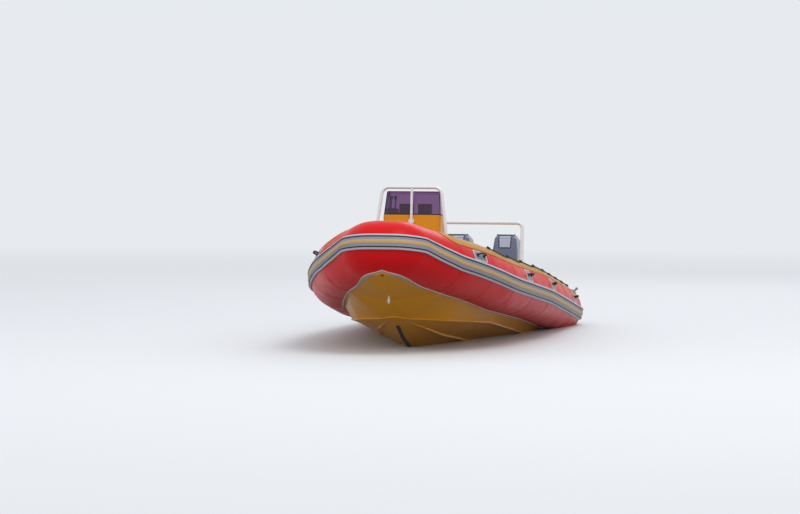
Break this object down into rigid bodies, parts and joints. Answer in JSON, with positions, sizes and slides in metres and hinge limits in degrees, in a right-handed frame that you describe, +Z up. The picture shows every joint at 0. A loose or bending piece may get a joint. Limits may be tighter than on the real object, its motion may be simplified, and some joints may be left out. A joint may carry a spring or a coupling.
{
  "type": "rigid inflatable boat with twin outboard motors",
  "caption": "Rigid inflatable boat with a V hull, an air tube all round, a forward console, a stern frame and outboard motors that tilt and steer.",
  "frame": {"origin": "on the water surface, on the centre line amidships, with the boat at its running trim", "axes": "+X towards the bow, +Y to port, +Z up from the water"},
  "size_m": [7.1629, 2.5002, 2.4901],
  "materials": {
    "tube_fabric": "satin coated fabric",
    "strake_rubber": "satin",
    "stripe_rubber": "satin",
    "pad_fabric": "ribbed coated fabric",
    "gelcoat": "gloss gelcoat",
    "deck_nonskid": "non-skid gelcoat",
    "rim_rubber": "satin",
    "black_rubber": "satin",
    "steel": "polished",
    "screen_tint": "tinted acrylic",
    "black_plastic": "matte",
    "cushion": "vinyl",
    "patch_fabric": "coated fabric",
    "rope": "braided",
    "motor_paint": "satin",
    "cowl_paint": "gloss",
    "engine_metal": "cast",
    "prop_metal": "painted"
  },
  "bodies": {
    "boat": {"tube_bow": "tube_fabric", "tube_middle_port": "tube_fabric", "tube_aft_port": "tube_fabric", "tube_middle_starboard": "tube_fabric", "tube_aft_starboard": "tube_fabric", "rubbing_strake": "strake_rubber", "strake_stripe": "stripe_rubber", "strake_ribs": "black_rubber", "wear_pad_port": "pad_fabric", "wear_pad_starboard": "pad_fabric", "hull": "gelcoat", "foredeck": "gelcoat", "transom": "gelcoat", "deck": "deck_nonskid", "hull_rim": "rim_rubber", "keel_guard": "black_rubber", "bow_eye": "steel", "stern_eyes": "steel", "mooring_post": "steel", "console": "gelcoat", "windscreen": "screen_tint", "displays": "black_plastic", "dash_panel": "black_plastic", "console_hatch": "gelcoat", "stern_cleats": "rim_rubber", "console_rail": "steel", "stern_frame": "steel", "wheel_stub": "black_plastic", "throttle": "black_plastic", "seat_base": "gelcoat", "seat_cushion": "cushion", "seat_backrest": "cushion", "patches_port": "patch_fabric", "patches_starboard": "patch_fabric", "handles_port": "black_rubber", "handles_starboard": "black_rubber", "lifeline_port": "rope", "lifeline_starboard": "rope", "line_loops_port": "black_rubber", "line_loops_starboard": "black_rubber", "air_valves": "black_plastic", "clamp_bracket_port": "motor_paint", "clamp_bracket_starboard": "motor_paint"},
    "tie_bar": {"tie_bar": "steel"},
    "steering_wheel": {"steering_wheel": "black_plastic"},
    "port_swivel": {"swivel_bracket_port": "motor_paint"},
    "port_motor": {"leg_port": "motor_paint", "cowl_port": "cowl_paint", "cowl_trim_port": "black_plastic", "powerhead_port": "engine_metal"},
    "port_propeller": {"propeller_port": "prop_metal"},
    "starboard_swivel": {"swivel_bracket_starboard": "motor_paint"},
    "starboard_motor": {"leg_starboard": "motor_paint", "cowl_starboard": "cowl_paint", "cowl_trim_starboard": "black_plastic", "powerhead_starboard": "engine_metal"},
    "starboard_propeller": {"propeller_starboard": "prop_metal"}
  },
  "joints": [
    {"name": "port_tilt", "type": "hinge", "parent": "boat", "child": "port_swivel", "pos_m": [-3.2133, 0.2825, 0.22013], "axis": [0, 1, 0], "range_deg": [-5, 65]},
    {"name": "port_steer", "type": "hinge", "parent": "port_swivel", "child": "port_motor", "pos_m": [-3.33203, 0.2825, 0.14685], "axis": [-0.0924, 0, 0.9957], "range_deg": [-30, 30]},
    {"name": "port_propeller_spin", "type": "hinge", "parent": "port_motor", "child": "port_propeller", "pos_m": [-3.59146, 0.2825, -0.71581], "axis": [0.9957, 0, 0.0924], "continuous": true},
    {"name": "starboard_tilt", "type": "hinge", "parent": "boat", "child": "starboard_swivel", "pos_m": [-3.2133, -0.2825, 0.22013], "axis": [0, 1, 0], "range_deg": [-5, 65]},
    {"name": "starboard_steer", "type": "hinge", "parent": "starboard_swivel", "child": "starboard_motor", "pos_m": [-3.33203, -0.2825, 0.14685], "axis": [-0.0924, 0, 0.9957], "range_deg": [-30, 30]},
    {"name": "starboard_propeller_spin", "type": "hinge", "parent": "starboard_motor", "child": "starboard_propeller", "pos_m": [-3.59146, -0.2825, -0.71581], "axis": [0.9957, 0, 0.0924], "continuous": true},
    {"name": "tie_bar_pivot", "type": "hinge", "parent": "port_motor", "child": "tie_bar", "pos_m": [-3.19653, 0.2825, 0.31006], "axis": [-0.0924, 0, 0.9957], "range_deg": [-31, 31]},
    {"name": "wheel_spin", "type": "hinge", "parent": "boat", "child": "steering_wheel", "pos_m": [1.11364, 0, 1.00717], "axis": [-0.9578, 0, 0.2874], "range_deg": [-545, 545]}
  ],
  "couplings": [
    {"joint": "starboard_tilt", "follows": "port_tilt", "ratio": 1},
    {"joint": "starboard_steer", "follows": "port_steer", "ratio": 1},
    {"joint": "tie_bar_pivot", "follows": "port_steer", "ratio": -1},
    {"joint": "wheel_spin", "follows": "port_steer", "ratio": -18}
  ]
}
